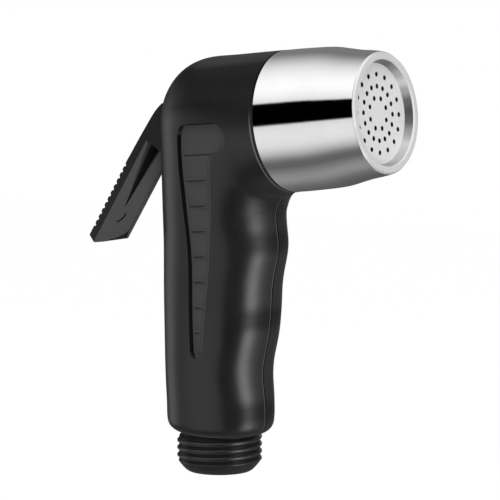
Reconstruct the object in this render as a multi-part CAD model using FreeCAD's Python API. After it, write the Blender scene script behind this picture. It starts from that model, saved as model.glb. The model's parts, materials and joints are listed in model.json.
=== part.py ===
import FreeCAD, Part
import math
import os

os.makedirs("parts", exist_ok=True)
V = FreeCAD.Vector

# Frame: origin on the inlet's axis where its thread meets the handle, +Z up the handle, +X towards
# the spray. Millimetres. Heights below are counted from the inlet's end face and moved when saved.

# Clearances
slip = 0.1            # between fixed pieces that slide together, on radius
run_fit = 0.05        # pin in lever, on radius
bore_fit = 0.06       # stem in its bore, on radius
ring_gap = 0.03       # sealing rings against their bores
end_gap = 0.15        # spring ends to their seats
room = 0.4            # round the lever in its slot

# Shell
wall = 2.4            # wall of both half shells
floor_t = 2.5         # bottom wall of the handle
shell_z = 9.5         # height of the handle's lower end, above the threaded spigot
edge_r = 3.0          # rounding round the handle's lower end
tilt = 6.0            # upward tilt of the nozzle, degrees
nozzle_x = 21.0       # centre of the collar face
nozzle_z = 86.6
collar_r = 17.0       # radius of the collar where the nozzle meets it
collar_fillet = 5.7   # inside curve under the collar
neck_fillet = 6.5     # the same curve where it leaves the grip
rear_x = -13.1        # rear face of the handle
rear_swell = 0.5      # how far the rear face swells at the height of the upper grip
foot_in = 0.9         # how far the rear face draws in at the lower end
shoulder_x = 1.3      # centre of the rounding of the rear top corner
shoulder_z = 86.8
neck_w = 14.1         # half width where the handle turns into the head
lip_h = 0.25          # bead round the collar's edge
lip_w = 0.8
seam_w = 0.22         # parting line between the halves
seam_d = 0.3

# Finger grip, as height and depth of the front edge on the mid-plane
grip = [(9.5, 13.2), (13.0, 13.7), (17.0, 13.75), (21.0, 13.35), (25.0, 13.0), (29.0, 13.5),
        (33.0, 14.5), (38.0, 15.2), (42.0, 15.5), (46.0, 15.75), (50.0, 16.4), (53.5, 17.25),
        (57.0, 17.6), (60.5, 17.15)]
# Half width of the handle up its height
flank = [(9.5, 11.2), (16.0, 11.5), (25.0, 12.2), (40.0, 12.8), (50.0, 12.9), (57.0, 13.3)]
# Fullness of the handle's section: 2 is an ellipse
full_low = 2.25
full_mid = 2.3

# Side panels
panel_deep = 1.15     # depth at the rear edge
panel_wall = 1.15     # wall left under the panel where the head widens
rib_n = 8
rib_pitch = 6.15
rib_h = 0.3
rib_w = 0.85
rib_top = 14.4        # first rib below the nozzle centre
rib_in = 0.9          # start of the ribs in front of the handle's axis
# Outline of the panel: forward of the handle's axis, and below the nozzle's centre
panel_rear = [(0.2, 55.6), (0.15, 42.0), (0.0, 29.0), (-1.25, 8.6), (-1.25, 3.9)]
panel_corner = [(-1.25, 3.9), (-0.6, 1.5), (1.4, 0.75)]
panel_bulge = [(9.8, 0.05), (11.8, 1.1), (13.0, 3.4), (12.2, 6.1), (9.6, 7.5)]
panel_inner = [(9.6, 7.5), (8.2, 8.7), (7.65, 11.2)]
panel_front = [(7.65, 11.2), (6.5, 25.0), (5.2, 39.0), (3.2, 55.6)]
panel_foot = [(3.2, 55.6), (1.7, 57.4), (0.2, 55.6)]

# Inlet
thread_r = 10.4775    # G 1/2 male thread
chamfer_h = 2.8       # lead-in at its end
lead_r = 7.7
seat_r = 6.6          # recess for the filter
seat_h = 2.2
inlet_bore = 4.6
neck_r = 7.4          # waist held by the shells' bottom wall
flange_rx = 8.8       # captive flange, with two flats
flange_y = 8.2
flange_t = 2.4
socket_t = 1.9        # wall of the socket round the riser
socket_h = 10.0       # depth of that socket
socket_sunk = 1.5     # its floor below the flange's top
filter_t = 1.8
mesh_t = 0.5
mesh_hole = 0.6

# Riser
riser_r = 5.2
riser_bore = 3.4
ring_r = 0.5           # section radius of the static rings
stem_ring_r = 0.5

# Valve, measured along the nozzle axis from the collar face, forward is positive
tube_back = -25.0     # rear end of the valve tube
tube_r = 4.8
valve_bore = 3.2
step_s = -14.1        # where the narrow bore opens into the chamber
step_t = 2.5
neck_in = 5.0         # neck that carries the nozzle, inside the collar's radius
neck_wall = 3.5       # between the neck's radius and the chamber
chamber_wall = 2.5
chamber_end = -4.0
flange_s = 2.5        # thickness of the housing's flange
front_rim = 1.5       # the shells' rim in front of that flange
hold_t = 1.6          # ring inside the shells behind that flange
neck_end = 7.5
sock_r = 6.6          # socket under the valve tube
sock_low = 66.5
sock_drop = 0.8       # its top below the stem's rod
riser_gap = 0.5       # above the riser's end
port_r = 2.2
port_s = -18.9
riser_in = 10.0       # how deep the riser sits in that socket

# Stem
stem_rear = -30.6     # rear end, where the lever presses
rod_r = 2.2
waist_r = 1.6
ring_rear_s = -24.0
ring_front_s = -15.0
land = 1.0            # each side of a ring
flange_play = 2.9     # between the stem's flange and the chamber, on radius
flange_th = 1.3
boss_r = 2.5
boss_l = 2.4
stop_gap = 0.05

# Spring
spring_wire = 0.45
spring_r = 3.3
spring_turns = 6

# Spring seat
seat_t = 1.6
seat_ring = 1.3
seat_hub = 4.2
spigot_l = 2.4

# Nozzle
nozzle_gap = 0.35     # dark joint between shell and nozzle
nozzle_l = 26.5       # length of the bright nozzle
sleeve_t = 1.65       # wall of the sleeve at its base
rim_in = 3.08         # rim of the nozzle, inside the collar's radius
rim_flare = 0.38      # rounding of the rim's outer edge
rim_wall = 0.82       # wall of the sleeve round the plate
rim_face = 1.32       # width of the rim's flat end
recess_lean = 0.8     # how far the recess draws in
recess_d = 2.4
straight = 0.434      # straight part of the sleeve's bore, as a share of its length
# Nozzle's outline: share of its length, and distance inside the collar's radius
belly = [(0.011, 0.05), (0.17, 0.1), (0.35, 0.25), (0.48, 0.42), (0.56, 0.66), (0.636, 1.06),
         (0.72, 1.52), (0.82, 1.97), (0.91, 2.27)]
plate_t = 1.8
skirt_h = 2.6
skirt_t = 1.5
seal_t = 1.0
gasket_t = 0.8
step_in = 1.4         # flow disc's seat, inside the neck's radius
mouth_in = 1.0        # cup's mouth, inside that seat
disc_s = 12.0
disc_t = 1.5
disc_hole = 1.4
disc_ring = 0.566     # circle of its holes, as a share of its seat's radius
jet_r = 0.525
jet_outer = 0.7754    # circles of jets, as shares of the plate's open radius
jet_mid = 0.5381
jet_inner = 0.317
jet_turn = 4.0        # turn of the plate round its axis, degrees

# Lever, measured from the hinge
hinge_back = 28.0     # behind the collar face's centre
hinge_up = 3.6        # above it
hub_r = 2.6
pin_r = 1.25
pin_in = 2.2          # how deep the pin sits in each boss
lever_w = 7.25        # half width
nose_r = 2.0
nose_gap = 0.05
slot_top = 0.4        # slot's upper edge above the hinge
slot_low = 33.3       # slot's lower edge below the hinge
slot_deep = 0.3       # slot's inner end behind the hinge
slot_round = 1.6
boss_wall = 1.9
edge_w = 0.25          # half width of the lever's front edge
groove_pitch = 1.8
groove_n = 11
groove_r = 0.45
groove_first = 1.0
flute_r = 2.6
flute_lift = 1.1      # axis of its cutter over the face, as a share of its width
mark_r = 2.9          # shallow crescent near the lever's end
mark_t = 0.22
# Lever's outline from the hinge, backwards is negative
lever_top = [(0, 1.9), (-1.6, 1.5), (-2.75, 0.1), (-4.9, 0.1)]
lever_back = [(-4.9, 0.1), (-6.93, -1.75), (-9.05, -4.55), (-11.92, -8.65), (-15.97, -14.6)]
grip_end = (-27.7, -33.4)
toe_tip = (-26.3, -35.3)
lever_toe = [(-25.3, -35.25), (-23.7, -34.6), (-21.98, -33.66), (-20.74, -32.47), (-19.82, -31.07)]
lever_front = (-10.06, -16.5)
lever_web = (-5.5, -13.6)
lever_neck = [(-2.4, -3.6), (0, -1.9)]
taper_top = [(-10.2, -9.0), (-5.4, -11.7)]
taper_line = [(-26.1, -34.6), (-10.15, -9.74)]
flute_tip = (-19.11, -26.57)
flute_head = (-9.56, -10.86)
mark_at = (-20.77, -27.72)
mark_low = (-20.38, -29.48)

# Locating pins between the half shells
peg_r = 1.1
peg_l = 2.6
peg_boss = 2.1
pegs = [(8.2, 26.0), (8.6, 43.0), (-8.1, 26.0), (-8.1, 43.0), (11.2, 60.5)]
cross_rib = 1.8
cross_z = [33.0, 52.0]


def arc_dir(a):
    return V(math.cos(a), 0, math.sin(a))


lean = math.radians(tilt)
axis = V(math.cos(lean), 0, math.sin(lean))
up = V(-math.sin(lean), 0, math.cos(lean))
side = V(0, 1, 0)
face_c = V(nozzle_x, 0, nozzle_z)
rear_top = rear_x - 1.2 * rear_swell
shoulder_r = shoulder_x - rear_top
thread_n_r = collar_r - neck_in
chamber_r = thread_n_r - neck_wall
flange_r = chamber_r - flange_play
rim_r = collar_r - rim_in
front_r = rim_r - rim_wall
recess_r = rim_r - rim_face
plate_r_open = recess_r - recess_lean
cup_step = thread_n_r - step_in
cup_mouth = cup_step - mouth_in
hinge = V(nozzle_x - hinge_back, 0, nozzle_z + hinge_up)
fan_c = face_c - up * (collar_r + collar_fillet)
on_axis = FreeCAD.Placement(face_c, FreeCAD.Rotation(V(0, 1, 0), 90 - tilt))


def axis_pt(s, r=0.0):
    return face_c + axis * s + up * r


def axis_s(x):
    return (x - nozzle_x) / math.cos(lean)


def smooth(points, t):
    # Value at t of a smooth curve through the points
    n = len(points)
    k = 0
    while k < n - 2 and t > points[k + 1][0]:
        k += 1
    x0, y0 = points[k]
    x1, y1 = points[k + 1]

    def slope(i):
        a = points[max(i - 1, 0)]
        b = points[min(i + 1, n - 1)]
        return (b[1] - a[1]) / (b[0] - a[0])

    h = x1 - x0
    u = min(max((t - x0) / h, 0.0), 1.0)
    m0 = slope(k) * h
    m1 = slope(k + 1) * h
    a = 2 * u ** 3 - 3 * u ** 2 + 1
    b = u ** 3 - 2 * u ** 2 + u
    c = -2 * u ** 3 + 3 * u ** 2
    d = u ** 3 - u ** 2
    return a * y0 + b * m0 + c * y1 + d * m1


def lathe(points):
    # Turned solid on the nozzle axis, from points of radius and distance
    poly = [V(r, 0, s) for r, s in points]
    face = Part.Face(Part.makePolygon(poly + [poly[0]]))
    solid = face.revolve(V(0, 0, 0), V(0, 0, 1), 360)
    solid.Placement = on_axis
    return solid


def turned(points):
    # Turned solid on the upright axis of the inlet
    poly = [V(r, 0, z) for r, z in points]
    face = Part.Face(Part.makePolygon(poly + [poly[0]]))
    return face.revolve(V(0, 0, 0), V(0, 0, 1), 360)


def rod(r, s0, s1):
    return Part.makeCylinder(r, s1 - s0, axis_pt(s0), axis)


def ring_on(r, thick, s):
    return Part.makeTorus(r, thick, axis_pt(s), axis)


def save(shape, name):
    shape = shape.removeSplitter()
    if shape.ShapeType != "Solid" and len(shape.Solids) == 1:
        shape = shape.Solids[0]
    shape = shape.translated(V(0, 0, -shell_z))
    shape.exportStep("parts/" + name + ".step")


# Outer form of the body: sections up the handle, then a fan of sections round to the collar
grip_top = fan_c.x - neck_fillet
front_pts = grip + [(fan_c.z, grip_top)]
flank_pts = flank + [(fan_c.z, neck_w)]
full_pts = [(shell_z, full_low), (30.0, full_mid), (50.0, full_low), (fan_c.z, 2.1)]
rear_pts = [(shell_z, rear_x + foot_in), (shell_z + edge_r, rear_x + 0.15), (26.0, rear_x),
            (40.0, rear_x - 0.5 * rear_swell), (53.0, rear_x - rear_swell), (fan_c.z, rear_top)]
fan_full = [(0.0, 2.1), (0.35, 2.12), (0.65, 2.18), (0.9, 2.05), (1.0, 2.0)]


def ray_out(phi):
    # Where a ray from the fan centre leaves the body at the rear or the top
    d = V(-math.cos(phi), 0, math.sin(phi))
    t = (rear_top - fan_c.x) / d.x
    p = fan_c + d * t
    if p.z <= shoulder_z:
        return p
    mid = V(shoulder_x, 0, shoulder_z)
    w = fan_c - mid
    b = w.dot(d)
    c = w.dot(w) - shoulder_r ** 2
    p_arc = fan_c + d * (-b + math.sqrt(max(b * b - c, 0)))
    top = axis_pt(0, collar_r)
    v = top - mid
    a1 = math.atan2(v.z, v.x) + math.acos(shoulder_r / v.Length)
    tan_p = mid + arc_dir(a1) * shoulder_r
    if phi <= math.atan2(tan_p.z - fan_c.z, fan_c.x - tan_p.x):
        return p_arc
    e = top - tan_p
    det = d.x * -e.z + e.x * d.z
    s = ((tan_p.x - fan_c.x) * -e.z + e.x * (tan_p.z - fan_c.z)) / det
    return fan_c + d * s


around = 26           # points round each section
# Growth of the half width where the handle ends, carried on over the length of the fan's mid line
flank_slope = (neck_w - flank[-1][1]) / (fan_c.z - flank[-1][0])
flank_end = flank_slope * math.radians(90 - tilt) * (fan_c.x - 0.5 * (grip_top + rear_top))


def section(back, front, half, n, inset):
    # Points round a closed section between a rear and a front point, with its half width
    along = front - back
    h = along.Length / 2 - inset
    along.normalize()
    mid = (front + back) / 2
    half = half - inset
    pts = []
    for k in range(around):
        a = 2 * math.pi * k / around
        c = math.cos(a)
        s = math.sin(a)
        u = math.copysign(abs(c) ** (2 / n), c)
        w = math.copysign(abs(s) ** (2 / n), s)
        pts.append(mid + along * (h * u) + side * (half * w))
    return pts


def skin(rows):
    # Solid inside a smooth surface through rows of points, closed round and flat at both ends
    nv = len(rows)
    t = [0.0]
    for j in range(1, nv):
        steps = [(rows[j][i] - rows[j - 1][i]).Length for i in range(around)]
        t.append(t[-1] + sum(steps) / around)
    inner = [(t[j] + t[j + 1] + t[j + 2]) / 3 for j in range(1, nv - 3)]
    v_knots = [t[0]] + inner + [t[-1]]
    v_mults = [4] + [1] * len(inner) + [4]
    u_knots = [float(i) for i in range(around + 1)]
    u_mults = [1] * (around + 1)
    poles = [[V(rows[j][i]) for j in range(nv)] for i in range(around)]
    surf = Part.BSplineSurface()
    for turn in range(14):
        surf.buildFromPolesMultsKnots(poles, u_mults, v_mults, u_knots, v_knots, True, False, 3, 3)
        for i in range(around):
            for j in range(nv):
                u = (i - 1) % around
                poles[i][j] = poles[i][j] + rows[j][i] - surf.value(u, t[j])
    surf.buildFromPolesMultsKnots(poles, u_mults, v_mults, u_knots, v_knots, True, False, 3, 3)
    ends = [Part.Face(Part.Wire(surf.vIso(v).toShape())) for v in (t[0], t[-1])]
    shell = Part.makeShell([surf.toShape()] + ends)
    shell.sewShape()
    solid = Part.makeSolid(shell)
    if solid.Volume < 0:
        solid.reverse()
    return solid


def body(inset, low, beyond):
    rows = []
    heights = []
    z = low
    if inset == 0:
        for a in (0, 22, 45, 68):
            t = math.radians(a)
            heights.append((low + edge_r * (1 - math.cos(t)), edge_r * (1 - math.sin(t))))
        z = low + edge_r
    count = 14
    for k in range(count):
        heights.append((z + (fan_c.z - z) * k / count, 0.0))
    for z, extra in heights:
        b = V(smooth(rear_pts, z), 0, z)
        f = V(smooth(front_pts, z), 0, z)
        rows.append(section(b, f, smooth(flank_pts, z), smooth(full_pts, z), inset + extra))
    count = 12
    for k in range(count + 1):
        f = k / count
        phi = math.radians(90 - tilt) * f
        r = neck_fillet + (collar_fillet - neck_fillet) * f
        front = fan_c + V(-math.cos(phi), 0, math.sin(phi)) * r
        half = neck_w + (collar_r - neck_w) * (f * f * (3 - 2 * f)) + flank_end * f * (1 - f) ** 2
        rows.append(section(ray_out(phi), front, half, smooth(fan_full, f), inset))
    if beyond > 0:
        rows.append(section(axis_pt(beyond, collar_r), axis_pt(beyond, -collar_r), collar_r, 2.0, inset))
    return skin(rows)


outer = body(0.0, shell_z, 0.0)
cavity = body(wall, shell_z + floor_t, 1.0)

# Side panels: outline in side view, floor level in front view
p_z = nozzle_z


def drops(points):
    return [V(x, 0, p_z - drop) for x, drop in points]


def panel_outline():
    rear = Part.BSplineCurve()
    rear.interpolate(drops(panel_rear))
    bulge = Part.BSplineCurve()
    bulge.interpolate(drops(panel_bulge))
    front = Part.BSplineCurve()
    front.interpolate(drops(panel_front))
    top = Part.LineSegment(drops(panel_corner)[2], drops(panel_bulge)[0])
    parts = [rear, Part.Arc(*drops(panel_corner)), top, bulge, Part.Arc(*drops(panel_inner)), front,
             Part.Arc(*drops(panel_foot))]
    return Part.Wire([g.toShape() for g in parts])


def floor_y(z):
    # Half width of the body at the panel's rear edge, less the panel's depth
    if z <= fan_c.z:
        return smooth(flank_pts, z) - panel_deep
    f = min((z - fan_c.z) / (nozzle_z - fan_c.z), 1.0)
    return neck_w + (collar_r - neck_w) * 0.42 * f - panel_deep


outline = panel_outline()
z_low = p_z - 58.0
z_high = p_z + 1.0
level = []
steps = 9
for k in range(steps + 1):
    z = z_low + (z_high - z_low) * k / steps
    level.append(V(-4, -floor_y(z), z))
curve = Part.BSplineCurve()
curve.interpolate(level)
far = -collar_r - 3
prof = Part.Wire([curve.toShape(), Part.makeLine(level[-1], V(-4, far, z_high)),
                  Part.makeLine(V(-4, far, z_high), V(-4, far, z_low)),
                  Part.makeLine(V(-4, far, z_low), level[0])])
beyond = Part.Face(prof).extrude(V(20, 0, 0))
prism = Part.Face(outline).extrude(V(0, far, 0))
deepest = wall - panel_wall
panel = prism.common(beyond).cut(body(deepest, shell_z + floor_t, 0.5))
crest = body(deepest - rib_h, shell_z + floor_t, 0.5)
for k in range(rib_n):
    z = p_z - rib_top - rib_pitch * k
    y = floor_y(z)
    bar = Part.makeBox(12, rib_h + 0.4, rib_w, V(rib_in, -y - rib_h, z))
    tall = Part.makeBox(12, -far, rib_w, V(rib_in, far, z))
    panel = panel.cut(bar).cut(tall.common(crest))

# Shell: outer form less the cavity, which leaves ribs and bosses standing
hold = lathe([(chamber_r + chamber_wall + slip, chamber_end - hold_t), (collar_r + 4, chamber_end - hold_t),
              (collar_r + 4, chamber_end), (chamber_r + chamber_wall + slip, chamber_end)])
rim = lathe([(thread_n_r + 0.6, -front_rim), (collar_r + 4, -front_rim), (collar_r + 4, 0),
             (thread_n_r + 0.6, 0)])
slot_y = lever_w + room
boss_y = slot_y + 0.05
keep = [hold, rim]
for z in cross_z:
    slab = Part.makeBox(60, 60, cross_rib, V(-30, -30, z))
    slab = slab.cut(Part.makeCylinder(riser_r + slip, cross_rib, V(0, 0, z)))
    keep.append(slab)
for x, z in pegs:
    keep.append(Part.makeCylinder(peg_boss, 60, V(x, -30, z), side))
hinge_boss = Part.makeCylinder(pin_r + boss_wall, 60, hinge + V(0, -30, 0), side)
gap_box = Part.makeBox(60, 2 * boss_y, 60, V(-50, -boss_y, hinge.z - 30))
keep.append(hinge_boss.cut(gap_box))
space = cavity
for k in keep:
    space = space.cut(k)
shell = outer.cut(space)
band = Part.makeBox(3 * nozzle_z, seam_w, 3 * nozzle_z, V(-1.5 * nozzle_z, -0.5 * seam_w, 0))
shell = shell.cut(band.common(outer).cut(band.common(body(seam_d, shell_z + seam_d, 0.5))))
lip = lathe([(collar_r - 0.6, -lip_w), (collar_r + 0.02, -lip_w), (collar_r + lip_h, -0.6 * lip_w),
             (collar_r + lip_h, -0.35 * lip_w), (collar_r, 0), (collar_r - 0.6, 0)])
shell = shell.fuse(lip)

# Holes and slots
slot_w = 2 * slot_y
slot_h = slot_top + slot_low
slot = Part.makeBox(40, slot_w, slot_h, V(hinge.x - slot_deep - 40, -slot_y, hinge.z - slot_low))
low_edges = []
for e in slot.Edges:
    a = e.Vertexes[0].Point
    b = e.Vertexes[-1].Point
    if abs(a.x - b.x) > 1 and a.z < hinge.z - 0.5 * slot_low:
        low_edges.append(e)
slot = slot.makeFillet(slot_round, low_edges)
shell = shell.cut(slot)
shell = shell.cut(Part.makeCylinder(hub_r + room, slot_w, hinge - V(0, slot_y, 0), side))
shell = shell.cut(panel)
shell = shell.cut(panel.mirror(V(0, 0, 0), V(0, 1, 0)))
shell = shell.cut(Part.makeCylinder(neck_r + slip, 2 * floor_t, V(0, 0, shell_z - 0.5 * floor_t)))
shell = shell.cut(Part.makeCylinder(pin_r, 2 * (boss_y + pin_in + 0.1), hinge - V(0, boss_y + pin_in + 0.1, 0), side))

big = 3 * nozzle_z
right_half = shell.common(Part.makeBox(big, big, big, V(-0.5 * big, -big, -0.25 * big)))
left_half = shell.common(Part.makeBox(big, big, big, V(-0.5 * big, 0, -0.25 * big)))
for x, z in pegs:
    right_half = right_half.fuse(Part.makeCylinder(peg_r, peg_l + 0.5, V(x, -0.5, z), side))
    left_half = left_half.cut(Part.makeCylinder(peg_r + slip, peg_l + 0.3, V(x, 0, z), side))
save(right_half, "right_shell")
save(left_half, "left_shell")

# Inlet connector
socket_z = shell_z + floor_t + flange_t
riser_z = socket_z - socket_sunk
socket_r = riser_r + slip
socket_top = riser_z + socket_h
conn = turned([(seat_r, 0), (lead_r, 0), (thread_r, chamfer_h), (thread_r, shell_z), (neck_r, shell_z),
               (neck_r, shell_z + floor_t), (flange_rx, shell_z + floor_t), (flange_rx, socket_z),
               (socket_r + socket_t, socket_z), (socket_r + socket_t, socket_top),
               (socket_r, socket_top), (socket_r, riser_z), (inlet_bore, riser_z),
               (inlet_bore, seat_h), (seat_r, seat_h)])
for s in (-1, 1):
    conn = conn.cut(Part.makeBox(40, 10, flange_t, V(-20, flange_y if s > 0 else -flange_y - 10,
                                                     shell_z + floor_t)))
save(conn, "inlet_connector")

# Inlet filter
f_r = seat_r - slip
z0 = seat_h - filter_t
screen = turned([(0, z0 + 0.6), (inlet_bore, z0 + 0.6), (inlet_bore, z0), (f_r, z0), (f_r, seat_h),
                 (inlet_bore, seat_h), (inlet_bore, z0 + 0.6 + mesh_t), (0, z0 + 0.6 + mesh_t)])
for n, r in ((1, 0), (6, 1.75), (12, 3.4)):
    for k in range(n):
        a = 2 * math.pi * k / n
        hole = Part.makeCylinder(mesh_hole, 3, V(r * math.cos(a), r * math.sin(a), z0 - 0.5))
        screen = screen.cut(hole)
save(screen, "inlet_filter")

# Riser tube
riser_top = sock_low + riser_in
seat_low = riser_z + 0.5 * socket_h
seat_up = sock_low + 0.5 * riser_in
g = ring_r + 0.15
o_r = riser_r + slip - ring_gap - ring_r
g_in = o_r - ring_r - ring_gap
pts = [(riser_bore, riser_z), (riser_r, riser_z)]
for zc in (seat_low, seat_up):
    pts += [(riser_r, zc - g), (g_in, zc - g), (g_in, zc + g), (riser_r, zc + g)]
pts += [(riser_r, riser_top), (riser_bore, riser_top)]
save(turned(pts), "riser_tube")
save(Part.makeTorus(o_r, ring_r, V(0, 0, seat_low), V(0, 0, 1)), "riser_ring_base")
save(Part.makeTorus(o_r, ring_r, V(0, 0, seat_up), V(0, 0, 1)), "riser_ring_top")

# Valve housing
ch_out = chamber_r + chamber_wall
fl_out = collar_r - wall - 0.2
seat_s = neck_end - seat_t
ring_out = chamber_r + seat_ring - 0.1
hous = lathe([(0, tube_back), (tube_r, tube_back), (tube_r, step_s - step_t), (ch_out, step_s - step_t),
              (ch_out, chamber_end), (fl_out, chamber_end), (fl_out, chamber_end + flange_s),
              (thread_n_r, chamber_end + flange_s), (thread_n_r, neck_end), (0, neck_end)])
sock_top = axis_pt(axis_s(-sock_r)).z - rod_r - sock_drop
hous = hous.fuse(Part.makeCylinder(sock_r, sock_top - sock_low, V(0, 0, sock_low)))
hous = hous.cut(rod(valve_bore, tube_back - 1, step_s + 1))
hous = hous.cut(rod(chamber_r, step_s, neck_end + 1))
hous = hous.cut(rod(ring_out, seat_s, neck_end + 1))
hous = hous.cut(Part.makeCylinder(riser_r + slip, riser_in + riser_gap, V(0, 0, sock_low)))
port_x = axis_pt(port_s).x
port_z = axis_pt(port_s).z
hous = hous.cut(Part.makeCylinder(port_r, port_z - riser_top, V(port_x, 0, riser_top)))
save(hous, "valve_housing")

# Stem
st_r = valve_bore - bore_fit
gs = stem_ring_r + 0.1
st_o = valve_bore - ring_gap - stem_ring_r
g_in = st_o - stem_ring_r - ring_gap
fl_s = step_s + stop_gap
stem = lathe([(0, stem_rear), (rod_r, stem_rear), (rod_r, ring_rear_s - gs - land),
              (st_r, ring_rear_s - gs - land), (st_r, ring_rear_s - gs), (g_in, ring_rear_s - gs),
              (g_in, ring_rear_s + gs), (st_r, ring_rear_s + gs), (st_r, ring_rear_s + gs + land),
              (waist_r, ring_rear_s + gs + land), (waist_r, ring_front_s - gs - land),
              (st_r, ring_front_s - gs - land), (st_r, ring_front_s - gs), (g_in, ring_front_s - gs),
              (g_in, ring_front_s + gs), (st_r - 0.3, ring_front_s + gs), (st_r - 0.3, fl_s),
              (flange_r, fl_s), (flange_r, fl_s + flange_th), (boss_r, fl_s + flange_th),
              (boss_r, fl_s + flange_th + boss_l), (0, fl_s + flange_th + boss_l)])
save(stem, "valve_stem")
save(ring_on(st_o, stem_ring_r, ring_rear_s), "stem_ring_rear")
save(ring_on(st_o, stem_ring_r, ring_front_s), "stem_ring_front")

# Spring seat: ring, three arms and a hub that centres the spring
hub_back = seat_s
seat = rod(ring_out - slip, seat_s, neck_end).cut(rod(chamber_r - 0.3, seat_s - 1, neck_end + 1))
seat = seat.fuse(rod(seat_hub, seat_s, neck_end))
for k in range(3):
    arm = Part.makeBox(chamber_r + 0.3, 1.8, neck_end - seat_s, V(0, -0.9, seat_s))
    arm.rotate(V(0, 0, 0), V(0, 0, 1), 120 * k + 60)
    arm.Placement = on_axis.multiply(arm.Placement)
    seat = seat.fuse(arm)
seat = seat.fuse(rod(boss_r, seat_s - spigot_l, seat_s + 0.1))
save(seat, "spring_seat")

# Return spring
sp0 = fl_s + flange_th + end_gap + spring_wire
sp1 = seat_s - end_gap - spring_wire
helix = Part.makeHelix((sp1 - sp0) / spring_turns, sp1 - sp0, spring_r)
wire_sec = Part.Wire(Part.makeCircle(spring_wire, V(spring_r, 0, 0), V(0, 1, 0)))
coil = Part.Wire(helix.Edges).makePipeShell([wire_sec], True, True)
coil.Placement = FreeCAD.Placement(axis_pt(sp0), on_axis.Rotation)
save(coil, "return_spring")

# Nozzle cup on the housing's neck
bore_r = collar_r - sleeve_t
cup_r = bore_r - slip
seal_s = neck_end + seal_t
base_s = nozzle_gap + 0.1
tip_s = nozzle_gap + nozzle_l
face_s = tip_s - recess_d
skirt_s = face_s - plate_t - skirt_h
cup_end = skirt_s - gasket_t
straight_s = nozzle_gap + straight * nozzle_l
slope_s = cup_end - 0.5
save(lathe([(thread_n_r + slip, base_s), (cup_r, base_s), (cup_r, straight_s), (front_r - slip, slope_s),
            (front_r - slip, cup_end), (cup_mouth, cup_end), (cup_mouth, disc_s + disc_t),
            (cup_step, disc_s + disc_t), (cup_step, seal_s), (thread_n_r + slip, seal_s)]), "nozzle_cup")
save(lathe([(ring_out - 0.5, neck_end), (thread_n_r - 0.1, neck_end), (thread_n_r - 0.1, seal_s),
            (ring_out - 0.5, seal_s)]), "nozzle_seal")

# Flow disc
fd = lathe([(0, disc_s), (cup_step - slip, disc_s), (cup_step - slip, disc_s + disc_t),
            (0, disc_s + disc_t)])
for k in range(8):
    a = 2 * math.pi * k / 8
    r = disc_ring * cup_step
    hole = Part.makeCylinder(disc_hole, disc_t + 1, V(r * math.cos(a), r * math.sin(a), disc_s - 0.5))
    hole.Placement = on_axis.multiply(hole.Placement)
    fd = fd.cut(hole)
save(fd, "flow_disc")

# Gasket, spray plate and sleeve
save(lathe([(cup_mouth + 0.6, cup_end), (front_r - slip - 0.2, cup_end), (front_r - slip - 0.2, skirt_s),
            (cup_mouth + 0.6, skirt_s)]), "plate_gasket")
pl_r = front_r - slip
plate = lathe([(0, face_s - plate_t), (pl_r - skirt_t, face_s - plate_t), (pl_r - skirt_t, skirt_s),
               (pl_r, skirt_s), (pl_r, face_s), (0, face_s)])
jets = []
for n, share, off in ((16, jet_outer, 0.0), (16, jet_mid, 0.0), (8, jet_inner, 0.5)):
    r = share * plate_r_open
    for k in range(n):
        a = 2 * math.pi * (k + off) / n + math.radians(jet_turn)
        jet = Part.makeCylinder(jet_r, plate_t + 1, V(-r * math.cos(a), r * math.sin(a), face_s - plate_t - 0.5))
        jet.Placement = on_axis.multiply(jet.Placement)
        jets.append(jet)
plate = plate.cut(Part.makeCompound(jets))
save(plate, "spray_plate")

line = [V(collar_r - inset, 0, nozzle_gap + share * nozzle_l) for share, inset in belly]
line.append(V(rim_r + rim_flare, 0, tip_s - 0.5))
skin_line = Part.BSplineCurve()
skin_line.interpolate(line)
inside = [V(rim_r, 0, tip_s), V(recess_r, 0, tip_s), V(plate_r_open, 0, face_s), V(front_r, 0, face_s),
          V(front_r, 0, slope_s), V(bore_r, 0, straight_s), V(bore_r, 0, nozzle_gap),
          V(collar_r - 0.35, 0, nozzle_gap)]
edges = [skin_line.toShape(), Part.makeLine(line[-1], inside[0])]
for a, b in zip(inside[:-1], inside[1:]):
    edges.append(Part.makeLine(a, b))
edges.append(Part.makeLine(inside[-1], line[0]))
sleeve = Part.Face(Part.Wire(edges)).revolve(V(0, 0, 0), V(0, 0, 1), 360)
sleeve.Placement = on_axis
save(sleeve, "nozzle_sleeve")

# Hinge pin
pin_half = boss_y + pin_in
save(Part.makeCylinder(pin_r, 2 * pin_half, hinge - V(0, pin_half, 0), side), "hinge_pin")

# Lever
press = axis_pt(stem_rear)
nose = press - axis * (nose_r + nose_gap)


def lv(point, y=0.0):
    return V(hinge.x + point[0], y, hinge.z + point[1])


def chain(points):
    return [Part.makeLine(a, b) for a, b in zip(points[:-1], points[1:])]


def plate_of(points, way):
    return Part.Face(Part.makePolygon(points + [points[0]])).extrude(way)


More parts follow.
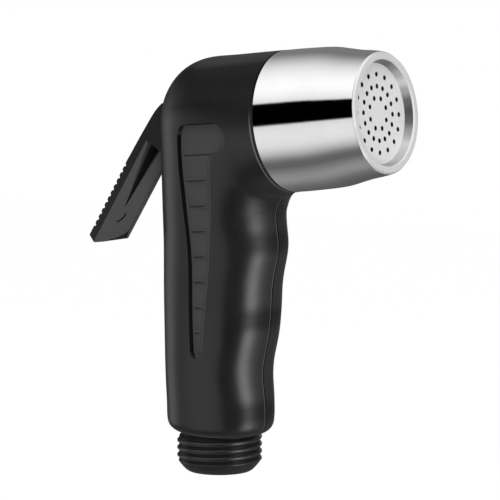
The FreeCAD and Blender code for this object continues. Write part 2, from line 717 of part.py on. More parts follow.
back_pts = [lv(p) for p in lever_back]
toe_pts = [lv(p) for p in lever_toe]
grip_a = back_pts[-1]
grip_b = lv(grip_end)
run = grip_a - grip_b
run.normalize()
out = V(-run.z, 0, run.x)
back_line = Part.BSplineCurve()
back_line.interpolate(back_pts)
toe = Part.BSplineCurve()
toe.interpolate(toe_pts)
low_nose = nose + V(-0.15 * nose_r, 0, -nose_r)
front_nose = nose + axis * nose_r
up_nose = nose + V(0.45 * nose_r, 0, 0.9 * nose_r)
lines = [back_line.toShape(), toe.toShape(), Part.Arc(low_nose, front_nose, up_nose).toShape()]
lines += chain([grip_a, grip_b, lv(toe_tip), toe_pts[0]])
lines += chain([toe_pts[-1], lv(lever_front), lv(lever_web), low_nose])
lines += chain([up_nose] + [lv(p) for p in lever_neck + lever_top])
lever = Part.Face(Part.Wire(Part.sortEdges(lines)[0])).extrude(V(0, 2 * lever_w, 0))
lever.translate(V(0, -lever_w, 0))
lever = lever.fuse(Part.makeCylinder(hub_r, 2 * lever_w, hinge - V(0, lever_w, 0), side))

# Its sides: a bevel beside the grip, then a face that draws in to a narrow front edge
b0 = lv(taper_line[0])
along = lv(taper_line[1]) - b0
reach = along.Length
along.normalize()
inward = V(along.z, 0, -along.x)
depth_f = (toe_pts[-1] - b0).dot(inward)
t0 = lv(taper_top[0])
tdir = lv(taper_top[1]) - t0
drop_dir = V(tdir.z, 0, -tdir.x)
wide = V(0, 4 * lever_w, 0)
lower = plate_of([t0 - tdir * 3 - wide, t0 + tdir * 4 - wide, t0 + tdir * 4 + drop_dir * 9 - wide,
                  t0 - tdir * 3 + drop_dir * 9 - wide], wide * 2)


def taper_pt(point, sgn):
    d = (lv(point) - b0).dot(inward)
    return lv(point, sgn * (lever_w - (lever_w - edge_w) * d / depth_f))


for sgn in (-1, 1):
    far_y = wide * sgn
    p0 = b0 - along * (0.3 * reach) + V(0, sgn * lever_w, 0)
    way = along * (1.9 * reach)
    slope = inward * depth_f - V(0, sgn * (lever_w - edge_w), 0)
    p1 = p0 + slope
    p2 = p1 + inward * (4 * depth_f)
    prism = plate_of([p0, p1, p2, p2 + far_y, p0 + far_y], way)
    lever = lever.cut(prism.common(lower))
    normal = along.cross(slope)
    normal.normalize()
    tip = taper_pt(flute_tip, sgn)
    way = taper_pt(flute_head, sgn) - tip
    across = normal.cross(way)
    across.normalize()
    if across.dot(inward) < 0:
        across = across * -1
    steep = (way + across * flute_r) * 1.4
    lean_out = normal * (2 * flute_r * flute_lift * 1.4 * sgn)
    wide_r = 2 * flute_r * 1.4 * math.sqrt(1 + flute_lift ** 2)
    flute = Part.makeCone(0.02, wide_r, (steep + lean_out).Length, tip, steep + lean_out)
    edge = normal * (4 * flute_r)
    half = plate_of([tip - edge, tip + steep * 1.2 - edge, tip + steep * 1.2 + edge, tip + edge], across * (-6 * flute_r))
    lever = lever.cut(flute.common(half).common(lower))
    spot = taper_pt(mark_at, sgn)
    low_side = taper_pt(mark_low, sgn)
    mark = Part.makeTorus(mark_r, mark_t, spot, normal)
    zone = Part.makeCylinder(0.6 * mark_r, 2, low_side - normal, normal)
    lever = lever.cut(mark.common(zone))
cuts = []
for k in range(groove_n):
    p = grip_a - run * (groove_first + groove_pitch * k) + out * 0.05
    cuts.append(Part.makeCylinder(groove_r, 4 * lever_w, p - V(0, 2 * lever_w, 0), side))
lever = lever.cut(Part.makeCompound(cuts))
lever = lever.cut(Part.makeCylinder(pin_r + run_fit, 4 * lever_w, hinge - V(0, 2 * lever_w, 0), side))
save(lever, "trigger_lever")
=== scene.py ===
import json
import math

import bmesh
import bpy
from mathutils import Matrix, Vector


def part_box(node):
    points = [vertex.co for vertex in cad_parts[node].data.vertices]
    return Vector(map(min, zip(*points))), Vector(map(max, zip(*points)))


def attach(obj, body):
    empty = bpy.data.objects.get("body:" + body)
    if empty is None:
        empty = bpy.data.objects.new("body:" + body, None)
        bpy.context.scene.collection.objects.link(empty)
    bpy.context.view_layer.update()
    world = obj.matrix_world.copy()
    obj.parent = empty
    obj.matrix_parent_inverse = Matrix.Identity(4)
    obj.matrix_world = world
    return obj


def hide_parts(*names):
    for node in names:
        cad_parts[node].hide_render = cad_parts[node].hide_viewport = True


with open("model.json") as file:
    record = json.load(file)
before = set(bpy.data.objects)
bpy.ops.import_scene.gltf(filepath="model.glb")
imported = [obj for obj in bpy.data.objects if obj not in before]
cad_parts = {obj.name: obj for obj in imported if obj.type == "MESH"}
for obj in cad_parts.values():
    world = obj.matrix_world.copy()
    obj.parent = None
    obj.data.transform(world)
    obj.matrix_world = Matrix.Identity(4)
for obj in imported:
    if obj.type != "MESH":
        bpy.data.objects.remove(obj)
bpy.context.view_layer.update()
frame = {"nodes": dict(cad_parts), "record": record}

scene = bpy.context.scene
MM = 0.001
TILT = math.radians(6.0)                     # the nozzle's rise
AXIS = Vector((math.cos(TILT), 0, math.sin(TILT)))
UP = Vector((-math.sin(TILT), 0, math.cos(TILT)))
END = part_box("inlet_connector")[0][2]        # height of the inlet's end face
FACE = Vector((0.0210, 0, END + 0.0866))     # centre of the collar face
HINGE = FACE + Vector((-0.028, 0, 0.0036))
NOZZLE_END = 0.02685                         # rim of the nozzle, from the collar face
RIM_R = 0.0126                               # inner edge of the rim
PLATE = 0.02445                              # spray face, from the collar face
CENTRE = FACE + AXIS * 0.014                 # middle of the bright nozzle


# Node helpers
def grey(level):
    return (level, level, level, 1)


def cool(level):
    """Grey with a trace of blue."""
    return (level, level, level * 1.02, 1)


class Nodes:
    """The shader tree of a material or a world.

    self.n(kind, inputs) adds a node, and a tuple (node, socket) links to an input.
    """

    def __init__(self, owner, output="OutputMaterial"):
        owner.use_nodes = True
        self.owner = owner
        self.t = owner.node_tree
        self.t.nodes.clear()
        self.out = self.n(output)

    def n(self, kind, inputs=None, **props):
        node = self.t.nodes.new("ShaderNode" + kind)
        for k, v in props.items():
            setattr(node, k, v)
        for k, v in (inputs or {}).items():
            if isinstance(v, tuple) and len(v) == 2 and hasattr(v[0], "outputs"):
                self.t.links.new(v[0].outputs[v[1]], node.inputs[k])
            else:
                node.inputs[k].default_value = v
        return node

    def math(self, op, *values):
        return (self.n("Math", dict(enumerate(values)), operation=op), 0)

    def times(self, *values):
        product = values[0]
        for value in values[1:]:
            product = self.math("MULTIPLY", product, value)
        return product

    def minus(self, a, b):
        return self.math("SUBTRACT", a, b)

    def absolute(self, value):
        return self.math("ABSOLUTE", value)

    def linear(self, value, slope, base):
        """slope times value plus base."""
        return self.math("MULTIPLY_ADD", value, slope, base)

    def larger(self, a, b):
        return self.math("MAXIMUM", a, b)

    def root(self, a, b):
        """Length of the hypotenuse over a and b."""
        return self.math("SQRT", self.math("MULTIPLY_ADD", a, a, self.times(b, b)))

    def step(self, value, low, high, a=0.0, b=1.0):
        """Smooth step of value from a at low to b at high."""
        node = self.n("MapRange", {"Value": value, "From Min": low, "From Max": high, "To Min": a, "To Max": b},
                      interpolation_type="SMOOTHSTEP")
        return (node, "Result")

    def below(self, value, low, high):
        """1 up to low, and 0 from high on."""
        return self.step(value, low, high, 1.0, 0.0)

    def between(self, value, rise, fall):
        """1 between the two spans, over which it rises and falls."""
        return self.times(self.step(value, *rise), self.below(value, *fall))

    def spread(self, value, middle, half, low=0.0, high=1.0):
        """Straight change from middle - half at low to middle + half at high."""
        node = self.n("MapRange", {"Value": value, "From Min": low, "From Max": high,
                                   "To Min": middle - half, "To Max": middle + half})
        return (node, "Result")

    def xyz(self):
        co = (self.n("TexCoord"), "Object")
        sep = self.n("SeparateXYZ", {0: co})
        return (sep, 0), (sep, 1), (sep, 2), co

    def noise(self, co, scale, detail, rough=0.5):
        return (self.n("TexNoise", {"Vector": co, "Scale": scale, "Detail": detail, "Roughness": rough}), "Fac")

    def ahead(self, x, z, point, normal):
        """Distance ahead of the plane through point and square to normal, which has no Y."""
        return self.math("ADD", self.times(self.minus(x, point.x), normal.x),
                         self.times(self.minus(z, point.z), normal.z))

    def ramp(self, source, stops, interp="LINEAR"):
        """Colour ramp through (place, level or colour)."""
        node = self.n("ValToRGB", {0: source})
        r = node.color_ramp
        r.interpolation = interp
        while len(r.elements) < len(stops):
            r.elements.new(0.5)
        for e, (place, c) in zip(r.elements, stops):
            e.position = place
            e.color = grey(c) if isinstance(c, float) else (*c, 1)
        return (node, "Color")

    def mix(self, share, a, b, blend="MIX"):
        return (self.n("Mix", {"Factor": share, 6: a, 7: b}, data_type="RGBA", blend_type=blend), 2)

    def bump(self, height, strength, distance):
        return (self.n("Bump", {"Height": height, "Strength": strength, "Distance": distance}), "Normal")

    def curve(self, value, points):
        """Straight lines through the points, as (value, result) in millimetres, for a value in metres."""
        lo, hi = points[0][0], points[-1][0]
        least = min(r for v, r in points)
        most = max(r for v, r in points)
        share = self.n("MapRange", {"Value": value, "From Min": lo * MM, "From Max": hi * MM})
        node = self.n("FloatCurve", {"Value": (share, "Result")})
        line = node.mapping.curves[0]
        while len(line.points) < len(points):
            line.points.new(0.5, 0.5)
        for spot, (v, r) in zip(line.points, points):
            spot.location = ((v - lo) / (hi - lo), (r - least) / (most - least))
            spot.handle_type = "VECTOR"
        node.mapping.update()
        return self.linear((node, 0), (most - least) * MM, least * MM)

    def principled(self, colour, rough, **more):
        inputs = {"Base Color": colour, "Roughness": rough}
        inputs.update({k.replace("_", " "): v for k, v in more.items()})
        return self.finish(self.n("BsdfPrincipled", inputs))

    def finish(self, shader):
        self.t.links.new(shader.outputs[0], self.out.inputs["Surface"])
        return self.owner


def material(name):
    return Nodes(bpy.data.materials.new(name))


def nozzle_frame(m, x, z):
    """Distance along the nozzle's axis from the collar face, and height above the axis."""
    return m.ahead(x, z, FACE, AXIS), m.ahead(x, z, FACE, UP)


# Side panel of the handle, as x on its rear and front edges at each drop below the collar face, in mm
PANEL_REAR = [(0, 9.8), (0.74, 1.6), (0.95, 0.1), (1.5, -0.6), (2.4, -1.05), (3.9, -1.25), (7.1, -1.27),
              (10.4, -1.2), (13.6, -1.04), (20.0, -0.58), (26.5, -0.13), (30.0, 0.04), (33.0, 0.12),
              (37.0, 0.15), (46.0, 0.15), (55.6, 0.2), (56.6, 0.45), (57.2, 1.0), (57.45, 1.7)]
PANEL_FRONT = [(0, 9.8), (0.22, 10.45), (0.52, 11.05), (0.92, 11.6), (1.95, 12.48), (3.2, 12.97), (3.9, 13.02),
               (5.2, 12.73), (6.3, 12.01), (7.16, 10.95), (7.5, 9.6), (8.0, 8.85), (8.7, 8.2), (9.7, 7.85),
               (11.2, 7.65), (25.1, 6.49), (39.0, 5.2), (47.3, 4.28), (55.6, 3.2), (56.6, 2.95),
               (57.2, 2.4), (57.45, 1.7)]
RIBS, RIB_FIRST, RIB_PITCH = 8, 0.0074, 0.00615        # counted down from the panel's upper wall


def panel_masks(m, x, drop):
    """Inside the recessed side panel, seen from the side; bands of painted shade along its back and top walls; a
    band of painted highlight along its front border; a painted shade line at each rib.
    """
    from_rear = m.minus(x, m.curve(drop, PANEL_REAR))
    from_front = m.minus(m.curve(drop, PANEL_FRONT), x)
    mask = m.times(m.step(from_rear, -0.00006, 0.00006), m.step(from_front, -0.00006, 0.00006))
    tall = m.between(drop, (0.0006, 0.0009), (0.0572, 0.0575))
    # painted shade: dark bands along the panel's back and top walls, where shadow falls
    rear_shade = m.times(tall, m.below(m.absolute(from_rear), 0.00010, 0.00018))
    low = m.math("ADD", drop, m.linear(x, 0.0833, -0.000867))         # below the upper wall, which slopes
    upper_shade = m.times(m.between(low, (-0.0001, 0.0), (0.00012, 0.00026)),
                    m.between(x, (0.0, 0.0006), (0.0085, 0.0105)))
    # painted highlight: a light band along the panel's front border
    edge_highlight = m.times(tall, m.between(from_front, (-0.00022, -0.00010), (-0.00008, 0.0)))
    # painted shade: a thin dark line at each rib
    count = m.math("DIVIDE", m.minus(low, RIB_FIRST), RIB_PITCH)
    nearest = m.math("ROUND", count)
    rib_shade = m.times(m.below(m.absolute(m.minus(count, nearest)), 0.012, 0.045),
                   m.below(m.absolute(m.minus(nearest, (RIBS - 1) / 2)), RIBS / 2 - 0.2, RIBS / 2 + 0.2),
                   m.step(from_rear, 0.0008, 0.0011), m.step(from_front, 0.0004, 0.0024))
    return mask, m.larger(rear_shade, upper_shade), edge_highlight, rib_shade


WAVE_CRESTS = (0.0291, 0.0478, 0.0709)       # drops at which the finger waves turn away from the light


def shell_marks(m, x, y, z, colour, gloss, spec, panel):
    """The handle's side panel, the lines at its joints, its matt zones and the shade of its finger waves, with
    painted shade along the panel's walls and at each rib, and painted highlights along the panel's front border,
    round the collar's raised ring and beside the seam.
    """
    drop = m.minus(FACE.z, z)
    along, rise = nozzle_frame(m, x, z)
    mask, wall_shade, edge_highlight, rib_shade = panel_masks(m, x, drop)
    fore = m.step(x, 0.008, 0.010)
    # painted highlight: a light line round the lower part of the collar's raised ring
    bead_highlight = m.times(m.between(along, (-0.00062, -0.0004), (-0.0002, -0.00005)), m.below(rise, -0.002, 0.004))
    # painted highlight: a light line beside the seam groove, on the -Y half only
    seam_highlight = m.times(m.between(y, (-0.00050, -0.00044), (-0.00024, -0.00020)), fore, m.step(drop, 0.016, 0.020))
    groove = m.times(m.below(m.absolute(y), 0.00018, 0.00024), fore, m.step(drop, 0.016, 0.018))
    # painted shade on the panel's walls, joined with the seam groove's dark joint line; both also lose their
    # reflection below
    dark = m.larger(wall_shade, groove)
    # panel tone, then the painted shade at each rib, the painted highlights on the front border, collar ring and
    # seam, and the painted wall shade with the dark seam
    for share, tone in ((mask, panel), (rib_shade, 0.008), (edge_highlight, 0.055), (bead_highlight, 0.11), (seam_highlight, 0.085), (dark, 0.002)):
        colour = m.mix(share, colour, cool(tone))
    gloss = m.linear(mask, 0.16, gloss)
    head = m.times(m.between(rise, (0.002, 0.006), (0.0138, 0.0166)), m.step(x, -0.010, -0.003),
                   m.step(rise, 0.006, 0.0105, 0.75, 0.88))
    waves = m.times(m.between(drop, (0.0172, 0.0205), (0.0205, 0.0290)), 0.7)
    for crest in WAVE_CRESTS:
        waves = m.math("ADD", waves, m.below(m.absolute(m.minus(drop, crest)), 0.0008, 0.0044))
    waves = m.times(waves, m.below(m.absolute(y), 0.0065, 0.0125), m.step(x, 0.004, 0.008))
    inside = m.times(m.below(m.root(x, y), 0.0112, 0.0118), m.below(m.absolute(m.minus(z, 0.042)), 0.022, 0.024))
    spec = m.times(m.linear(mask, -0.25, spec), m.linear(dark, -0.9, 1.0), m.minus(1.0, head),
                   m.minus(1.0, inside), m.linear(waves, -0.62, 1.0))
    return colour, gloss, spec


def moulded(name, dark, light, rough, grain=1.0, spec=0.5, panel=None, thread=False):
    """Satin moulded plastic: a slow drift of tone and gloss, a fine spark-erosion grain and rubbed specks.

    A panel tone adds the handle's marks, with their painted shade and highlights, and thread makes the roots of the
    inlet's turns matt.
    """
    m = material(name)
    x, y, z, co = m.xyz()
    slow = m.noise(co, 55.0, 4.0, 0.55)
    fine = m.noise(co, 5200.0, 2.0, 0.6)
    fleck = m.n("TexVoronoi", {"Vector": co, "Scale": 900.0})
    tone = m.ramp(slow, [(0.3, dark), (0.7, light)])
    speck = m.ramp((fleck, "Distance"), [(0.0, 1.25), (0.12, 1.0)])
    colour = m.mix(0.35, tone, speck, "MULTIPLY")
    gloss = m.spread(slow, rough, 0.03, 0.3, 0.7)
    if panel:
        colour, gloss, spec = shell_marks(m, x, y, z, colour, gloss, spec, panel)
    if thread:
        root = m.times(m.below(m.root(x, y), 0.0100, 0.0103), m.step(z, END + 0.0022, END + 0.0030))
        spec = m.linear(root, -0.9 * spec, spec)
    return m.principled(colour, gloss, Normal=m.bump(fine, 0.10 * grain, 0.00002), Specular_IOR_Level=spec)


def lever_plastic(name):
    """The lever's satin plastic, with a matt spark-eroded texture on its drawn-in flanks whose lighter tone is
    partly painted light, and painted shade that darkens the flute and weakens its reflection deeper in.
    """
    m = material(name)
    x, y, z, co = m.xyz()
    tip = HINGE - Vector((0.0261, 0, 0.0346))            # on the rear edge of the sides, near the free end
    deep = m.ahead(x, z, tip, Vector((0.8416, 0, -0.540)))
    low = m.ahead(x, z, HINGE - Vector((0.0102, 0, 0.0090)), Vector((-0.49, 0, -0.87)))
    region = m.times(m.step(deep, -0.00002, 0.00004), m.step(low, -0.00002, 0.00004))
    under = m.math("ADD", m.ahead(x, z, tip, Vector((-0.7574, 0, 0.4860))),
                   m.times(m.minus(0.00725, m.absolute(y)), 0.4346))
    beyond = m.ahead(x, z, HINGE - Vector((0.01911, 0, 0.02657)), Vector((0.5195, 0, 0.8545)))
    into = m.math("DIVIDE", under, m.larger(m.times(beyond, 0.123), 0.00015))     # share of the flute's depth
    # painted shade: deeper into the flute the colour goes from the lighter matt tone to the dark satin one, and the
    # reflection weakens
    flute = m.times(region, m.step(into, 0.15, 0.50))
    matt_sides_and_flute_shade = m.times(region, m.step(into, 0.2, 0.55, 1.0, 0.02))
    slow = m.noise(co, 70.0, 4.0)
    fine = m.noise(co, 5200.0, 2.0, 0.6)
    satin = m.ramp(slow, [(0.3, 0.0035), (0.7, 0.0055)])
    # the matt tone is partly the texture's own and partly painted light, lighter than the flanks' lighting gives
    matt = m.ramp(slow, [(0.3, 0.049), (0.7, 0.056)])
    return m.principled(m.mix(matt_sides_and_flute_shade, satin, matt), m.linear(matt_sides_and_flute_shade, 0.18, 0.34),
                        Normal=m.bump(fine, 0.12, 0.00002), Specular_IOR_Level=m.linear(flute, -0.40, 0.45))


def chrome(name):
    """Bright plate on the barrel, with its rim frosted and the side of the recess satin, banded with painted
    reflection by the angle round the axis.
    """
    m = material(name)
    x, y, z, co = m.xyz()
    along, rise = nozzle_frame(m, x, z)
    inner = m.below(m.root(rise, y), RIM_R - 0.0001, RIM_R + 0.0001)
    front = m.step(along, NOZZLE_END - 0.00055, NOZZLE_END - 0.00035)
    peel = m.noise(co, 160.0, 2.0)
    hair = m.noise(co, 2500.0, 3.0)
    grain = m.noise(co, 4200.0, 3.0, 0.7)
    bright = m.ramp(peel, [(0.3, (0.86, 0.865, 0.87)), (0.7, (0.90, 0.90, 0.905))])
    satin = m.ramp(hair, [(0.3, 0.97), (0.7, 1.0)])
    frost = m.ramp(grain, [(0.25, 0.65), (0.75, 0.78)])
    turn = m.times(m.absolute(m.math("ARCTAN2", y, rise)), 1 / math.pi)              # 0 at the top, 1 below
    # painted reflection: light and dark bands round the recess, set by the angle about the axis
    painted_reflection = m.ramp(turn, [(0.0, 0.12), (0.10, 0.13), (0.17, 0.26), (0.24, 0.45), (0.31, 0.70), (0.37, 0.42),
                          (0.44, 0.14), (0.50, 0.09), (0.56, 0.13), (0.64, 0.33), (0.72, 0.60), (0.83, 0.52),
                          (1.0, 0.30)], "EASE")
    tone = m.mix(inner, bright, m.mix(1.0, satin, painted_reflection, "MULTIPLY"))
    tone = m.mix(front, tone, frost)
    gloss = m.linear(front, 0.2, m.linear(inner, 0.3, m.spread(hair, 0.055, 0.02)))
    metal = m.larger(m.minus(1.0, m.linear(front, 0.8, m.times(inner, 0.6))), 0.2)
    return m.principled(tone, gloss, Metallic=metal, Normal=m.bump(peel, 0.02, 0.00005))


JETS = ((16, 9.15, 0.0), (16, 6.35, 0.0), (8, 3.74, 0.5))    # jets on each circle, its radius, offset in steps
JET_TURN = math.radians(4)


def frosted(name):
    """Fine grained silver plate on the spray face, with painted shade that makes its jets dark from just outside
    their edges inwards.
    """
    m = material(name)
    x, y, z, co = m.xyz()
    grain = m.noise(co, 4200.0, 3.0, 0.7)
    soft = m.noise(co, 180.0, 2.0)
    tone = m.ramp(grain, [(0.25, 0.6278), (0.75, 0.803)])
    along, rise = nozzle_frame(m, x, z)
    # painted shade: the plate is near black inside the jets and in a thin ring just round each
    face = m.step(along, PLATE - 0.00016, PLATE - 0.00004)
    turn = m.math("ARCTAN2", y, rise)
    for count, r, offset in JETS:
        pitch = 2 * math.pi / count
        first = offset * pitch + JET_TURN
        near = m.times(m.math("ROUND", m.linear(turn, 1 / pitch, -first / pitch)), pitch)
        spot = m.math("ADD", near, first)
        dy = m.minus(y, m.times(m.math("SINE", spot), r * MM))
        dr = m.minus(rise, m.times(m.math("COSINE", spot), r * MM))
        face = m.times(face, m.step(m.root(dy, dr), 0.00055, 0.00064))
    return m.principled(m.mix(face, grey(0.004), tone), m.spread(soft, 0.5, 0.04), Metallic=0.15,
                        Normal=m.bump(grain, 0.25, 0.00002))


def steel(name):
    m = material(name)
    draw = m.noise(m.xyz()[3], 1800.0, 3.0)
    return m.principled(m.ramp(draw, [(0.3, 0.5), (0.7, 0.62)]), m.spread(draw, 0.25, 0.07), Metallic=1.0)


MATS = {
    "black_abs": moulded("satin_black_abs", 0.0055, 0.0075, 0.32, panel=0.046),
    "black_thread": moulded("satin_black_thread", 0.006, 0.008, 0.28, thread=True),
    "lever_abs": lever_plastic("satin_black_lever"),
    "chrome_plate": chrome("bright_plate"),
    "plate_silver": frosted("frosted_silver"),
    "inner_plastic": moulded("natural_acetal", 0.50, 0.58, 0.5, 0.5, 0.0),
    "seal_rubber": moulded("seal_rubber", 0.018, 0.026, 0.62, 1.5, 0.3),
    "spring_steel": steel("drawn_spring_wire"),
    "pin_steel": steel("ground_pin"),
    "filter_mesh": moulded("filter_nylon", 0.70, 0.78, 0.42, 0.6),
}
MIRRORED = ("trigger_lever", "nozzle_sleeve", "spray_plate", "plate_gasket", "flow_disc", "nozzle_cup")
slot_of = {s["node"]: s["material_slot"] for s in frame["record"]["subparts"]}
for name, o in frame["nodes"].items():
    o.data.materials.clear()
    o.data.materials.append(MATS[slot_of[name]])
    o.visible_glossy = name in MIRRORED      # the photo's bright nozzle doesn't mirror the handle


def add_mesh(name, verts, faces):
    me = bpy.data.meshes.new(name)
    me.from_pydata([tuple(v) for v in verts], [], faces)
    me.update()
    for p in me.polygons:
        p.use_smooth = True
    o = bpy.data.objects.new(name, me)
    scene.collection.objects.link(o)
    return o


# Inlet with its thread turns, in place of the plain connector. Sizes are in mm, and heights count from the end face
THREAD_R, THREAD_PITCH, THREAD_DEPTH = 10.4775, 1.8143, 0.5       # G 1/2, rounded as moulded
THREAD_LOW, THREAD_TOP = 0.05, 9.45
SEGMENTS, THREAD_ROWS = 144, 100
FLAT_HALF = 8.2                              # half width over the two flats of the flange
# (radius, height, whether it is cut by the flats), up over the flange and back down the bore
INLET_ROWS = [(7.3, 9.5, False), (7.3, 12.0, False), (8.8, 12.0, True), (8.8, 14.4, True), (7.2, 14.4, False),
              (7.2, 22.9, False), (5.3, 22.9, False), (5.3, 12.9, False), (4.6, 12.9, False), (4.6, 2.2, False),
              (6.6, 2.2, False), (6.6, 0.0, False), (7.5, 0.0, False)]


def thread_radius(height, turn):
    """Radius of the thread at a height and a share of a turn."""
    off = abs((height / THREAD_PITCH - turn) % 1.0 - 0.5) * 2        # 0 at the crest, 1 at the root
    radius = THREAD_R - THREAD_DEPTH * min(max((off - 0.12) / 0.50, 0), 1) ** 1.4
    lead = 7.75 + min(height / 2.9, 1.2) ** 0.72 * (THREAD_R - 7.75)     # rounded lead-in at the end
    if lead < radius:
        radius = lead - 0.15 * (radius - lead) if lead > THREAD_R - THREAD_DEPTH else lead
    run_out = min(max((height - 8.55) / 0.55, 0), 1)                 # the turns end under the handle
    return radius + (9.35 - radius) * run_out


def inlet_with_thread():
    heights = [THREAD_LOW + (THREAD_TOP - THREAD_LOW) * k / THREAD_ROWS for k in range(THREAD_ROWS + 1)]
    rows = INLET_ROWS + [(None, h, False) for h in heights] + [(9.3, 9.5, False)]
    verts = []
    for radius, height, cut in rows:
        for i in range(SEGMENTS):
            a = 2 * math.pi * i / SEGMENTS
            r = radius or thread_radius(height, i / SEGMENTS)
            y = r * math.sin(a)
            if cut:
                y = max(-FLAT_HALF, min(FLAT_HALF, y))
            verts.append((r * math.cos(a) * MM, y * MM, END + height * MM))
    faces = []
    for j in range(len(rows)):
        here, above = j * SEGMENTS, (j + 1) % len(rows) * SEGMENTS
        for i in range(SEGMENTS):
            i2 = (i + 1) % SEGMENTS
            faces.append((here + i, here + i2, above + i2, above + i))
    o = add_mesh("threaded_inlet", verts, faces)
    bm = bmesh.new()
    bm.from_mesh(o.data)
    bmesh.ops.recalc_face_normals(bm, faces=bm.faces)
    bm.to_mesh(o.data)
    bm.free()
    for p in o.data.polygons:                # only the spigot is smooth, between its end face and the handle
        zs = [o.data.vertices[v].co.z for v in p.vertices]
        p.use_smooth = END + 0.00004 < min(zs) and max(zs) < END + 0.00946
    o.data.materials.append(MATS["black_thread"])
    return o


inlet = inlet_with_thread()
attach(inlet, "handset")
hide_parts("inlet_connector")
inlet.visible_glossy = False


# Floor and world
def seen(m):
    """1 for the rays that see a white background: camera, glossy and transmission."""
    rays = m.n("LightPath")
    return m.larger((rays, "Is Camera Ray"), m.larger((rays, "Is Glossy Ray"), (rays, "Is Transmission Ray")))


FLOOR_Z, FLOOR_HALF = END - 0.62, 6
floor = add_mesh("floor", [(x, y, FLOOR_Z) for x, y in ((-FLOOR_HALF, -FLOOR_HALF), (FLOOR_HALF, -FLOOR_HALF),
                                                        (FLOOR_HALF, FLOOR_HALF), (-FLOOR_HALF, FLOOR_HALF))],
                 [(0, 1, 2, 3)])
fm = material("floor_white")
diffuse = fm.n("BsdfDiffuse", {"Color": grey(0.5)})
glow = fm.n("Emission", {"Color": grey(1), "Strength": fm.times(seen(fm), 0.72)})
floor.data.materials.append(fm.finish(fm.n("AddShader", {0: (diffuse, 0), 1: (glow, 0)})))

scene.world = bpy.data.worlds.new("studio")
sky = Nodes(scene.world, "OutputWorld")
plain = sky.n("Background", {"Color": grey(1), "Strength": 0.55})
white = sky.n("Background", {"Color": grey(1), "Strength": 1.0})
sky.finish(sky.n("MixShader", {0: seen(sky), 1: (plain, 0), 2: (white, 0)}))


# Lamps, and cards that only reflections see
def way(az, el):
    """Direction from the object: azimuth from -Y towards +X, elevation above the horizon, in degrees."""
    a, e = math.radians(az), math.radians(el)
    return Vector((math.sin(a) * math.cos(e), -math.cos(a) * math.cos(e), math.sin(e)))


def softbox(name, az, el, dist, size, power):
    """A square lamp that gives the even light; the reflectors below give what the gloss shows."""
    d = bpy.data.lights.new(name, "AREA")
    d.size = size
    d.energy = power
    o = bpy.data.objects.new(name, d)
    o.location = CENTRE + way(az, el) * dist
    o.rotation_euler = (-way(az, el)).to_track_quat("-Z", "Y").to_euler()
    o.visible_glossy = False
    scene.collection.objects.link(o)


def reflector(name, azimuths, rows, dist=0.55):
    """A curved card seen only in reflections: rows of (elevation, brightness across the azimuths)."""
    verts, shade = [], []
    for el, *vals in rows:
        for k, az in enumerate(azimuths):
            verts.append(CENTRE + way(az, el) * dist)
            shade.append(vals[min(k, len(vals) - 1)])
    w = len(azimuths)
    faces = [(j * w + i, j * w + i + 1, (j + 1) * w + i + 1, (j + 1) * w + i)
             for j in range(len(rows) - 1) for i in range(w - 1)]
    o = add_mesh(name, verts, faces)
    attr = o.data.attributes.new("glow", "FLOAT", "POINT")
    for k, v in enumerate(shade):
        attr.data[k].value = v
    m = material(name)
    glow = (m.n("Attribute", attribute_name="glow"), "Fac")
    o.data.materials.append(m.finish(m.n("Emission", {"Color": grey(1), "Strength": glow})))
    for ray in ("camera", "diffuse", "shadow", "transmission", "volume_scatter"):
        setattr(o, "visible_" + ray, False)


def span(a, b, step):
    n = max(int(round(abs(b - a) / step)), 1)
    return [a + (b - a) * k / n for k in range(n + 1)]


# Left card. The bright nozzle mirrors each of its points at one angle round the nozzle's axis, counted from
# the top, and the tone is set by that angle: a black slot between bright halves that fade to grey.
# Behind it, where only the handle mirrors it, the card has plain greys.
CAMERA_WAY = way(34.7, 6.2)
NOZZLE_TONES = [(0, 0.20), (18, 0.20), (22, 0.25), (27, 0.38), (33, 0.58), (38, 0.76), (43, 0.89), (48, 1.00),
                (53, 1.08), (58, 1.12), (62, 1.10), (66, 1.03), (70, 0.92), (72.0, 0.80), (73.2, 0.0), (89.8, 0.0),
                (91.2, 0.77), (96, 0.84), (102, 0.85), (107, 0.80), (110, 0.71), (113, 0.58), (116, 0.43),
                (118, 0.31), (120, 0.21), (123, 0.14), (127, 0.13), (132, 0.20), (137, 0.27), (142, 0.29),
                (147, 0.25), (152, 0.18), (158, 0.14), (166, 0.11), (180, 0.10)]
BACK_GREYS = [(-90, 0.26), (-50, 0.19), (-38, 0.15), (-20, 0.19), (6, 0.24), (30, 0.22), (42, 0.24), (45, 0.36),
              (49, 0.60), (54, 0.78), (58, 0.95), (90, 0.9)]                     # by elevation
EYE_GREYS = [(-160, 0.10), (-113, 0.09), (-105, 0.18), (-97, 0.50), (-90, 0.85), (-84, 1.05), (-77, 1.00),
             (-70, 0.65), (-64, 0.45), (-58, 0.40), (-52, 0.46)]                 # by azimuth, near the horizon


def at(points, t):
    """Value at t on straight lines through the points."""
    if t <= points[0][0]:
        return points[0][1]
    for (a, u), (b, v) in zip(points, points[1:]):
        if t <= b:
            return u + (v - u) * (t - a) / (b - a)
    return points[-1][1]


def ease(t):
    t = min(max(t, 0), 1)
    return t * t * (3 - 2 * t)


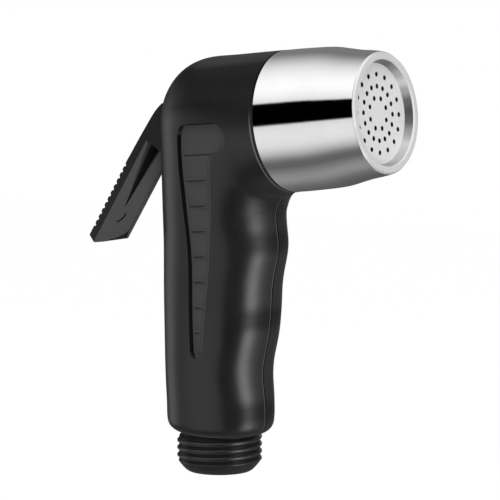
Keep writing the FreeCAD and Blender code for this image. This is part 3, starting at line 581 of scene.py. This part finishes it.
def card_tone(az, el):
    normal = (way(az, el) + CAMERA_WAY).normalized()
    turn = math.degrees(math.atan2(-normal.y, normal.dot(UP)))
    bright = at(NOZZLE_TONES, abs(turn))
    tone = at(BACK_GREYS, el)
    tone += (at(EYE_GREYS, az) - tone) * ease((32 - abs(el)) / 6)
    return tone + (bright - tone) * ease((normal.dot(AXIS) + 0.14) / 0.12)


left_az = span(-160, 12, 2)
reflector("card_left", left_az, [(el, *[card_tone(az, el) for az in left_az]) for el in span(-90, 90, 1.5)])
# Dark card round the camera, and a tall strip at the right that draws the line down the grip
reflector("card_camera", span(12, 60, 6), [(-90, 0.26), (-52, 0.25), (-44, 0.0), (48, 0.0), (60, 0.6), (90, 0.9)])
strip_az = [60, 66, 72, 77, 82, 87, 92, 98, 105, 113, 123, 140, 170, 200]
strip = [0.0, 0.4, 2.3, 4.0, 5.0, 5.2, 4.5, 3.3, 2.0, 1.15, 0.65, 0.35, 0.2, 0.15]
strip_dim = [0.4 * v + 0.1 for v in strip]
reflector("strip_right", strip_az,
          [(-90, 0.26), (-60, 0.3), (-50, *strip_dim), (-42, *strip), (42, *strip), (52, *strip_dim), (62, 0.8),
           (90, 0.9)])

softbox("key", 35, 50, 1.4, 0.8, 9.0)
softbox("fill", 42, -8, 1.4, 0.6, 10.0)

# Camera, solved from the photo's inlet, collar and rim circles
CAM_AZ, CAM_EL, CAM_DIST = 34.6692, 6.2495, 0.58727
back = way(CAM_AZ, CAM_EL)
right = Vector((math.cos(math.radians(CAM_AZ)), math.sin(math.radians(CAM_AZ)), 0))
above = back.cross(right)
target = Vector((0, 0, END + 0.052)) + right * 0.00749007 + above * 0.00241414
cam_data = bpy.data.cameras.new("photo_camera")
cam_data.sensor_width = 36.0
cam_data.lens = 172.8
cam_data.clip_start = 0.01
cam = bpy.data.objects.new("photo_camera", cam_data)
cam.matrix_world = Matrix.Translation(target + back * CAM_DIST) @ Matrix((right, above, back)).transposed().to_4x4()
scene.collection.objects.link(cam)
scene.camera = cam
scene.view_settings.view_transform = "Standard"

bpy.context.view_layer.update()
